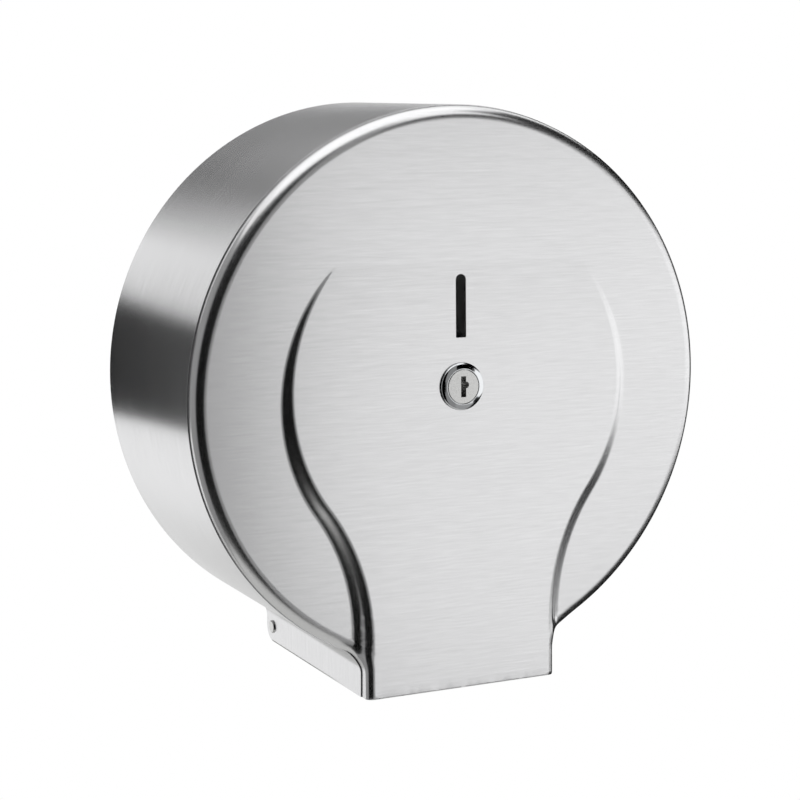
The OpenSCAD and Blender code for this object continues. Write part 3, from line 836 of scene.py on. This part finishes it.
def grain_from_path(obj, path, along):
    """Grain coordinates of the band: along its outline and across its depth."""
    mesh = obj.data
    layer = mesh.uv_layers.new(name="grain")
    co = np.empty(len(mesh.vertices) * 3)
    mesh.vertices.foreach_get("co", co)
    co = co.reshape(-1, 3) / MM
    first, step = path[:-1], np.diff(path, axis=0)
    size = np.maximum(np.sum(step**2, 1), 1e-9)
    u, aside = np.empty(len(co)), np.empty(len(co))
    for n, point in enumerate(co[:, [0, 2]]):
        rel = point - first
        t = np.clip(np.sum(rel * step, 1) / size, 0, 1)
        gap = np.sum((rel - step * t[:, None]) ** 2, 1)
        k = int(np.argmin(gap))
        u[n] = along[k] + t[k] * (along[k + 1] - along[k])
        aside[n] = (rel[k, 0] * step[k, 1] - rel[k, 1] * step[k, 0]) / math.sqrt(size[k])
    uv = np.empty(len(mesh.loops) * 2)
    loops = np.empty(len(mesh.loops), int)
    mesh.loops.foreach_get("vertex_index", loops)
    # The way through the sheet is added, so that its cut edges have a grain too
    uv[0::2] = (u + aside)[loops] * MM
    uv[1::2] = (aside - co[:, 1])[loops] * MM
    layer.data.foreach_set("uv", uv)


# --- Shapes of the lock ---


def lock_matrix():
    """The lock's own frame: on the panel's face, square to the sloping panel."""
    s, c = math.sin(SLOPE), math.cos(SLOPE)
    rows = ((1, 0, 0, 0), (0, s, -c, -LOCK_DEPTH * MM), (0, c, s, LOCK_UP * MM), (0, 0, 0, 1))
    return Matrix(rows)


def keyed_tree():
    """The plug's blank with the keyhole cut into its face: an upright slot with a half-round bulge
    on its right."""
    tree, value, end = new_tree("keyed_plug", ("Width", "Height", "Bulge", "Face"))
    deep = 0.018
    size = out(tree, "ShaderNodeCombineXYZ", {0: value["Width"], 1: value["Height"], 2: deep})
    slot = out(tree, "GeometryNodeMeshCube", {"Size": size})
    size = {"Vertices": 40, "Radius": value["Bulge"], "Depth": deep}
    bulge = out(tree, "GeometryNodeMeshCylinder", size)
    aside = reckon(tree, "MULTIPLY", value["Width"], 0.5)
    above = reckon(tree, "MULTIPLY", value["Bulge"], 0.5)
    middle = out(tree, "ShaderNodeCombineXYZ", {0: aside, 1: above})
    bulge = transformed(tree, bulge, Translation=middle)
    keyed = value["Geometry"]
    lift = out(tree, "ShaderNodeCombineXYZ", {2: value["Face"]})
    for tool in (slot, bulge):
        keyed = cut_away(tree, keyed, transformed(tree, tool, Translation=lift))
    return finished(tree, keyed, "satin_nickel_plate", end)


def washer_tree():
    """A flat washer with a crown of teeth round it."""
    inputs = ("Teeth", "Outer", "Root", "Bore", "Thickness")
    tree, value, end = new_tree("toothed_washer", inputs, Teeth="Int")
    size = {"Inner Radius": value["Root"], "Outer Radius": value["Outer"]}
    crown = out(tree, "GeometryNodeCurveStar", {"Points": value["Teeth"], **size})
    size = {"Resolution": 64, "Radius": value["Bore"]}
    bore = out(tree, "GeometryNodeCurvePrimitiveCircle", size)
    both = add(tree, "GeometryNodeJoinGeometry", {0: crown})
    tree.links.new(bore, both.inputs[0])
    flat = out(tree, "GeometryNodeFillCurve", {0: both.outputs[0]})
    size = {0: flat, "Offset Scale": value["Thickness"], "Individual": False}
    upper = out(tree, "GeometryNodeExtrudeMesh", size)
    solid = add(tree, "GeometryNodeJoinGeometry", {0: upper})
    tree.links.new(out(tree, "GeometryNodeFlipFaces", {0: flat}), solid.inputs[0])
    return finished(tree, solid.outputs[0], "zinc_plated_steel", end)


# --- Groups of sizes, finishes and stage settings ---


def length(name, description, default):
    """A length property, in metres."""
    return FloatProperty(
        name=name, description=description, default=default,
        min=0.0, max=1.0, unit="LENGTH", precision=4,
    )


class DispenserCover(bpy.types.PropertyGroup):
    """Sizes of the cover's sheet pieces"""

    thickness: length("Sheet", "Thickness of the cover's sheet", 0.001)
    chin_half: length("Chin Half Width", "Half of the chin's width", 0.0496)
    throat_radius: length("Throat Radius", "Radius of the hollow between drum and chin", 0.011)
    rim_radius: length("Rim Radius", "Radius of the front's rounded rim on the drum", 0.0052)
    chin_edge: length("Chin Edge Radius", "Radius of the front's rounded edge on the chin", 0.003)
    wall_bend: length("Wall Bend", "Radius of the two bends of the raised panel's wall", 0.0053)
    panel_radius: length("Panel Radius", "Radius to the middle of the raised panel's wall", 0.086)
    panel_blend: length("Panel Blend", "Radius of the hollow from raised panel to chin", 0.1)
    slot_width: length("Slot Width", "Width of the level slot", 0.0052)
    slot_length: length("Slot Length", "Length of the level slot", 0.029)
    slot_foot: length("Slot Foot", "Height of the slot's lower end above the drum's axis", 0.0248)
    band_edge: length("Band Edge", "Rounding of the band's cut edges", 0.00014)


class DispenserFinish(bpy.types.PropertyGroup):
    """Look of the main finishes"""

    steel: FloatVectorProperty(
        name="Steel Colour", description="Colour of the satin stainless sheet",
        default=srgb("e9e9ea")[:3], subtype="COLOR", min=0, max=1, size=3,
    )
    steel_roughness: FloatProperty(
        name="Steel Roughness", description="Mean roughness of the satin sheet",
        default=0.25, min=0, max=1, subtype="FACTOR",
    )
    steel_anisotropy: FloatProperty(
        name="Steel Anisotropy", description="How much more the grain blurs across than along",
        default=0.55, min=0, max=1, subtype="FACTOR",
    )


class DispenserSmall(bpy.types.PropertyGroup):
    """Sizes and counts of small parts"""

    key_width: length("Key Width", "Width of the keyhole", 0.0026)
    key_height: length("Key Height", "Height of the keyhole", 0.0096)
    key_bulge: length("Key Bulge", "Radius of the bulge on the keyhole's right", 0.0015)
    thread_pitch: length("Thread Pitch", "Distance between turns of the lock's thread", 0.001)
    washer_teeth: IntProperty(
        name="Washer Teeth", description="Number of teeth on the lock's washer",
        default=16, min=6, max=40,
    )
    edge: length("Softened Edge", "Rounding of the edges of small parts", 0.00015)


class DispenserStage(bpy.types.PropertyGroup):
    """Camera and light"""

    focal: FloatProperty(
        name="Lens", description="Focal length on a 36 mm sensor",
        default=90.33, min=20, max=300, unit="CAMERA",
    )
    overhead: FloatProperty(
        name="Overhead Panel", description="Power of the soft panel above",
        default=9.0, min=0, unit="POWER",
    )
    world_light: FloatProperty(
        name="World Light", description="Strength of the world's plain light",
        default=0.6, min=0, max=2,
    )


# --- Operators ---


class DISPENSER_OT_front(bpy.types.Operator):
    """Make the pressed front with its rim, raised panel, level slot and lock hole"""

    bl_idname = "dispenser.front"
    bl_label = "Front"

    def execute(self, context):
        thickness = context.scene.dispenser_cover.thickness / MM
        obj = sheet_from("cover_front_pressing", *front_mesh(), thickness)
        place(obj, "cover", "satin_stainless_pressing", "cover_front")
        return {"FINISHED"}


class DISPENSER_OT_band(bpy.types.Operator):
    """Make the bent band: the drum's side, its throats and the chin's sides"""

    bl_idname = "dispenser.band"
    bl_label = "Band"

    def execute(self, context):
        sizes = context.scene.dispenser_cover
        path, _, along = outline(sizes.thickness / MM / 2)
        steps = [(i, i + 1) for i in range(len(path) - 1)]
        base = bpy.data.meshes.new("band_path")
        base.from_pydata([(x * MM, z * MM, 0) for x, z in path], steps, [])
        drop = np.clip(CORNER_R - CHIN_DROP - path[:, 1], 0, CORNER_R)
        shifts = {
            "ahead": seam_depth(path[:, 1]) - SEAM_DEPTH,
            "behind": CORNER_R - np.sqrt(CORNER_R**2 - drop**2),
        }
        for name, shift in shifts.items():
            attribute = base.attributes.new(name, "FLOAT", "POINT")
            attribute.data.foreach_set("value", (shift * MM).astype(np.float32))
        low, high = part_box("hinge_pin_right")
        middle = (low + high) / 2
        values = {
            "Thickness": sizes.thickness,
            "Depth": SEAM_DEPTH * MM,
            "Gap": -BAND_HIGH.y,
            "Edge": sizes.band_edge,
            "Pin Radius": PIN_HOLE_R * MM,
            "Place": (0.0, middle.z, -middle.y),
        }
        obj = run_tree("cover_band_strip", band_tree(), values, base)
        tidy(obj.data, 50)
        grain_from_path(obj, path, along)
        material = "satin_stainless_pressing"
        place(weighted(obj), "cover", material, "cover_band", painted=True)
        return {"FINISHED"}


class DISPENSER_OT_hinge(bpy.types.Operator):
    """Finish the hinge pins, their washers and clips"""

    bl_idname = "dispenser.hinge"
    bl_label = "Hinge"

    def execute(self, context):
        head = PIN_HEAD_IN
        for side, name in ((-1, "hinge_pin_left"), (1, "hinge_pin_right")):
            low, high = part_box(name)
            inner, outer = sorted((side * low.x / MM, side * high.x / MM))
            rise = outer - head
            profile = [(0.001, inner), (2.2, inner), (2.5, inner + 0.3), (2.5, head)]
            profile += [(3.1, head), (3.2, head + 0.1), (3.2, head + rise * 0.45)]
            profile += [(3.1, head + rise * 0.75), (2.9, outer - 0.03), (2.6, outer)]
            profile += [(0.001, outer)]
            middle = (low + high) / 2
            turn = Matrix.Rotation(side * math.pi / 2, 4, "Y")
            matrix = Matrix.Translation((0, middle.y, middle.z)) @ turn
            obj = lathe(name + "_turned", profile, matrix, 64)
            place(obj, "cover", "turned_stainless_steel", name)
        edge = context.scene.dispenser_small.edge / MM
        dress(
            "cover",
            ("hinge_washers", "moulded", edge, "natural_nylon"),
            ("hinge_clips", "pressed", edge, "black_oxide_steel"),
        )
        return {"FINISHED"}


class DISPENSER_OT_lock(bpy.types.Operator):
    """Make the cam lock: bezel, threaded body, plug, nut, washer, cam and screw"""

    bl_idname = "dispenser.lock"
    bl_label = "Lock"

    def execute(self, context):
        small = context.scene.dispenser_small
        self.make_housing(small)
        dress(
            "lock_plug_body",
            ("lock_cam", "stamped", 0.2, "zinc_plated_steel"),
            ("cam_washer", "sprung", 0.1, "zinc_plated_steel"),
            ("cam_screw", "headed", 0.1, "black_oxide_steel"),
        )
        dress("cover", ("lock_nut", "chamfered", 0.3, "zinc_plated_steel"))
        self.make_plug(small)
        self.make_washer(small)
        return {"FINISHED"}

    def make_housing(self, small):
        """The bezel in front of the panel and the threaded body behind it, with two flats."""
        pitch = small.thread_pitch / MM
        profile = [(11.0, 0.0), (11.0, 0.5), (10.93, 0.9), (10.78, 1.22), (10.56, 1.44)]
        profile += [(10.2, 1.58), (9.6, 1.73), (9.0, 1.87), (8.4, 2.01), (8.24, 2.04), (8.1, 2.0)]
        profile += [(8.0, 1.86), (7.96, 0.8), (6.0, 0.8), (6.0, -12.8), (7.3, -12.8), (7.6, -12.5)]
        for i in range(int(12.5 / pitch) - 1):
            low = -12.4 + i * pitch
            profile += [(8.0, low + 0.12 * pitch), (8.0, low + 0.3 * pitch)]
            profile += [(7.45, low + 0.62 * pitch), (7.45, low + 0.8 * pitch)]
        profile += [(7.6, -0.9), (7.9, -0.6), (7.9, 0.0)]
        obj = lathe("lock_housing_cast", profile, lock_matrix(), 128, flat=(7.0, 0.0))
        place(obj, "cover", "polished_chrome_plate", "lock_housing")

    def make_plug(self, small):
        """The plug: face, barrel and flatted tail, with the keyhole and a bore for the screw."""
        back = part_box("lock_plug")[1].y / MM
        tail_r = 3.2
        tail = -(back + LOCK_DEPTH - tail_r * math.sin(SLOPE)) / math.cos(SLOPE)
        face, seat, barrel, bore = 2.1, 0.86, -13.1, tail + 7.2
        profile = [(1.55, tail), (3.1, tail), (tail_r, tail + 0.1), (tail_r, barrel)]
        profile += [(5.84, barrel)]
        profile += [(5.94, barrel + 0.1), (5.94, seat), (7.8, seat), (7.8, face - 0.16)]
        profile += [(7.75, face - 0.06), (7.64, face), (0.001, face), (0.001, bore), (1.55, bore)]
        blank = lathe("plug_blank", profile, Matrix.Identity(4), flat=(2.5, barrel - 0.05))
        mesh = blank.data
        bpy.data.objects.remove(blank)
        values = {
            "Width": small.key_width,
            "Height": small.key_height,
            "Bulge": small.key_bulge,
            "Face": face * MM,
        }
        obj = run_tree("lock_plug_turned", keyed_tree(), values, mesh)
        self.seat(obj, lock_matrix(), "lock_plug_body", "satin_nickel_plate", "lock_plug")

    def make_washer(self, small):
        """The washer under the nut, with a crown of teeth."""
        low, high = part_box("lock_washer")
        outer = (high.x - low.x) / 2
        values = {
            "Teeth": small.washer_teeth,
            "Outer": outer - TOOTH_GAP,
            "Root": outer - TOOTH_ROOT,
            "Bore": LOCK_HOLE_R * MM,
            "Thickness": WASHER_THICK,
        }
        obj = run_tree("lock_washer_toothed", washer_tree(), values)
        matrix = lock_matrix() @ Matrix.Translation((0, 0, -WASHER_REAR))
        self.seat(obj, matrix, "cover", "zinc_plated_steel", "lock_washer")

    def seat(self, obj, matrix, body, material, node):
        """Sets a piece that a tree made in its place in the lock."""
        obj.data.transform(matrix)
        tidy(obj.data)
        place(weighted(obj), body, material, node, painted=True)


class DISPENSER_OT_strip(bpy.types.Operator):
    """Finish the toothed tear strip behind the chin's lip"""

    bl_idname = "dispenser.strip"
    bl_label = "Tear Strip"

    def execute(self, context):
        edge = context.scene.dispenser_small.edge / MM
        dress("cover", ("tear_strip", "toothed", edge, "satin_stainless_plate"))
        return {"FINISHED"}


class DISPENSER_OT_wall_unit(bpy.types.Operator):
    """Finish the back plate, the spindle and the latch catch"""

    bl_idname = "dispenser.wall_unit"
    bl_label = "Wall Unit"

    def execute(self, context):
        dress(
            "wall_unit",
            ("back_plate", "pressed", 0.25, "satin_stainless_plate"),
            ("spindle_flange", "turned", 0.25, "zinc_plated_steel"),
            ("spindle_tube", "drawn", 0.2, "zinc_plated_steel"),
            ("flange_rivets", "set", 0.1, "zinc_plated_steel"),
            ("tube_plug", "turned", 0.2, "zinc_plated_steel"),
            ("latch_catch", "bent", 0.25, "zinc_plated_steel"),
            ("catch_washer", "flat", 0.15, "zinc_plated_steel"),
            ("catch_screw", "button", 0.1, "black_oxide_steel"),
            ("thrust_washer", "moulded", 0.15, "natural_nylon"),
            ("front_washer", "moulded", 0.15, "natural_nylon"),
        )
        return {"FINISHED"}


class DISPENSER_OT_hub(bpy.types.Operator):
    """Finish the moulded core hub"""

    bl_idname = "dispenser.hub"
    bl_label = "Core Hub"

    def execute(self, context):
        dress("hub", ("core_hub", "moulded", 0.35, "spark_textured_abs"))
        return {"FINISHED"}


def screen(name, turns, heights, grey, radius=1.6):
    """A curved studio screen that only reflections see. turns are its ends round the dispenser, in
    degrees from straight in front of it towards the right, and heights its lower and upper ends,
    in degrees above the horizon."""
    steps = 12
    points, faces = [], []
    for i in range(steps + 1):
        turn = math.radians(turns[0] + (turns[1] - turns[0]) * i / steps)
        for k in range(steps + 1):
            rise = math.radians(heights[0] + (heights[1] - heights[0]) * k / steps)
            flat = radius * math.cos(rise)
            x, y = flat * math.sin(turn), AIM_Y - flat * math.cos(turn)
            points.append((x, y, radius * math.sin(rise)))
    row = steps + 1
    for i in range(steps):
        for k in range(steps):
            n = i * row + k
            faces.append((n, n + 1, n + row + 1, n + row))
    mesh = bpy.data.meshes.new(name)
    mesh.from_pydata(points, [], faces)
    obj = linked(name, mesh)
    material, _, shader = principled(name + "_cloth", srgb("000000"), 0.0, 1.0)
    shader.inputs["Specular IOR Level"].default_value = 0.0
    shader.inputs["Emission Color"].default_value = (grey, grey, grey, 1)
    shader.inputs["Emission Strength"].default_value = 1.0
    mesh.materials.append(material)
    obj.visible_camera = obj.visible_diffuse = obj.visible_shadow = False
    obj.visible_transmission = obj.visible_volume_scatter = False


class DISPENSER_OT_stage(bpy.types.Operator):
    """Set the camera, the lights, the floor and the studio screens"""

    bl_idname = "dispenser.stage"
    bl_label = "Stage"

    def execute(self, context):
        scene = context.scene
        settings = scene.dispenser_stage
        self.make_camera(scene, settings)
        scene.view_settings.view_transform = "Standard"
        self.make_world(scene, settings)
        self.make_floor()
        for row in SCREENS:
            screen(*row)
        lamp = bpy.data.lights.new("overhead_panel", "AREA")
        lamp.shape, lamp.size, lamp.size_y = "RECTANGLE", 1.2, 0.9
        lamp.energy = settings.overhead
        above = linked("overhead_panel", lamp)
        above.visible_glossy = False
        above.location = (0.1, -0.5, 1.3)
        way = Vector((0, AIM_Y, 0)) - above.location
        above.rotation_euler = way.to_track_quat("-Z", "Y").to_euler()
        return {"FINISHED"}

    def make_camera(self, scene, settings):
        """The camera, on the photograph's line of sight."""
        camera = bpy.data.cameras.new("camera")
        camera.lens = settings.focal
        camera.sensor_width = 36.0
        camera.clip_start, camera.clip_end = 0.05, 60.0
        yaw, pitch, roll = (math.radians(angle) for angle in CAMERA_TURNS)
        flat = math.cos(pitch)
        ahead = Vector((math.sin(yaw) * flat, math.cos(yaw) * flat, -math.sin(pitch)))
        right = Vector((math.cos(yaw), -math.sin(yaw), 0))
        up = right.cross(ahead)
        right, up = (
            right * math.cos(roll) + up * math.sin(roll),
            up * math.cos(roll) - right * math.sin(roll),
        )
        turn = Matrix((right, up, -ahead)).transposed().to_4x4()
        eye = linked("camera", camera)
        eye.matrix_world = Matrix.Translation(CAMERA_PLACE) @ turn
        scene.camera = eye

    def make_world(self, scene, settings):
        """A white world for the eye and for reflections, and a weaker one for plain light."""
        world = bpy.data.worlds.new("studio")
        world.use_nodes = True
        scene.world = world
        tree = world.node_tree
        tree.nodes.clear()
        ray = add(tree, "ShaderNodeLightPath").outputs
        seen = reckon(tree, "MAXIMUM", ray["Is Camera Ray"], ray["Is Glossy Ray"])
        seen = reckon(tree, "MAXIMUM", seen, ray["Is Transmission Ray"])
        light = {"Value": seen, "To Min": settings.world_light, "To Max": 1.0}
        white = {"Color": (1, 1, 1, 1), "Strength": out(tree, "ShaderNodeMapRange", light)}
        sky = out(tree, "ShaderNodeBackground", white)
        add(tree, "ShaderNodeOutputWorld", {"Surface": sky})

    def make_floor(self):
        """A round, pale floor below, which to the eye is mostly lit from within."""
        radius, height, steps = 2.2, -1.2, 96
        turns = [2 * math.pi * i / steps for i in range(steps)]
        mesh = bpy.data.meshes.new("floor")
        points = [(radius * math.cos(turn), radius * math.sin(turn), height) for turn in turns]
        mesh.from_pydata(points, [], [tuple(range(steps))])
        material, tree, shader = principled("pale_floor", srgb("e6e6e4"), 0.0, 0.9)
        ray = add(tree, "ShaderNodeLightPath").outputs
        glow = out(tree, "ShaderNodeEmission", {"Color": (1, 1, 1, 1), "Strength": 0.85})
        share = reckon(tree, "MULTIPLY", ray["Is Camera Ray"], 0.75)
        mixed = out(tree, "ShaderNodeMixShader", {0: share, 1: shader.outputs[0], 2: glow})
        tree.links.new(mixed, tree.nodes["Material Output"].inputs["Surface"])
        mesh.materials.append(material)
        linked("floor", mesh)


class DISPENSER_PT_panel(bpy.types.Panel):
    """Lists the pieces and their settings"""

    bl_idname = "DISPENSER_PT_panel"
    bl_label = "Dispenser"
    bl_space_type = "VIEW_3D"
    bl_region_type = "UI"
    bl_category = "Dispenser"

    def draw(self, context):
        for operator in OPERATORS:
            self.layout.operator(operator.bl_idname)
        for key, group in GROUPS.items():
            box = self.layout.box()
            for prop in group.__annotations__:
                box.prop(getattr(context.scene, key), prop)


OPERATORS = (
    DISPENSER_OT_stage,
    DISPENSER_OT_front,
    DISPENSER_OT_band,
    DISPENSER_OT_hinge,
    DISPENSER_OT_lock,
    DISPENSER_OT_strip,
    DISPENSER_OT_wall_unit,
    DISPENSER_OT_hub,
)
GROUPS = {
    "dispenser_cover": DispenserCover,
    "dispenser_finish": DispenserFinish,
    "dispenser_small": DispenserSmall,
    "dispenser_stage": DispenserStage,
}


def register():
    for cls in (*GROUPS.values(), *OPERATORS, DISPENSER_PT_panel):
        bpy.utils.register_class(cls)
    for key, group in GROUPS.items():
        setattr(bpy.types.Scene, key, PointerProperty(type=group))


def unregister():
    for key in GROUPS:
        delattr(bpy.types.Scene, key)
    for cls in reversed((*GROUPS.values(), *OPERATORS, DISPENSER_PT_panel)):
        bpy.utils.unregister_class(cls)


def main():
    register()
    bpy.ops.dispenser.stage()
    bpy.ops.dispenser.front()
    bpy.ops.dispenser.band()
    bpy.ops.dispenser.hinge()
    bpy.ops.dispenser.lock()
    bpy.ops.dispenser.strip()
    bpy.ops.dispenser.wall_unit()
    bpy.ops.dispenser.hub()


if __name__ == "__main__":
    main()
